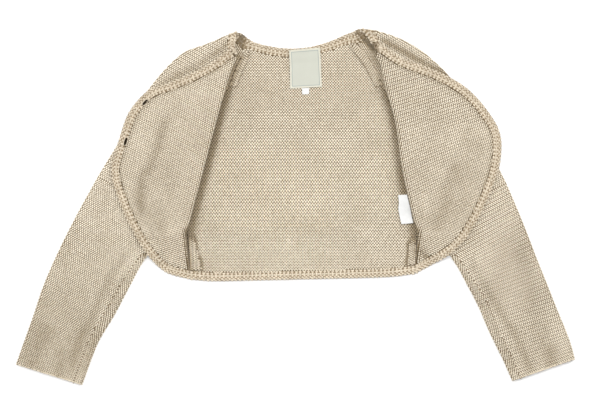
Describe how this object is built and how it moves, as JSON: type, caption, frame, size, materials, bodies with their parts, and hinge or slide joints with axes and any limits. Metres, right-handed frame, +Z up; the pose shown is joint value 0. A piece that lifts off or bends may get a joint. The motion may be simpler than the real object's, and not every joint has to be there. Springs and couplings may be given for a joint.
{
  "type": "cropped cardigan",
  "caption": "Cropped knitted cardigan with raglan sleeves and a crocheted border, laid flat and open, with both fronts turned outward over the sleeves so that the inside of the back shows.",
  "frame": {"origin": "middle of the surface that the garment lies on, under the middle of its bounding box", "axes": "+X to the right of the laid-out garment, from cuff to cuff; +Y from the hem to the neck; +Z up, away from the surface"},
  "size_m": [0.978, 0.6241, 0.0128],
  "materials": {
    "knit": "heathered beige yarn in garter stitch, matt",
    "crochet": "the same yarn, crocheted, matt",
    "ribbon": "woven label, pale grey-green, matt",
    "satin": "white satin tape, slight sheen",
    "button": "horn-coloured, satin"
  },
  "bodies": {
    "root": {"back_panel": "knit", "sleeve_left": "knit", "sleeve_right": "knit", "front_left": "knit", "front_right": "knit", "trim_front_left": "crochet", "trim_front_right": "crochet", "trim_neck": "crochet", "trim_hem": "crochet", "seam_raglan_left": "knit", "seam_raglan_right": "knit", "seam_side_left": "knit", "seam_side_right": "knit", "neck_label": "ribbon", "size_tab": "satin", "care_label": "satin", "button_upper": "button", "button_lower": "button"}
  },
  "joints": []
}
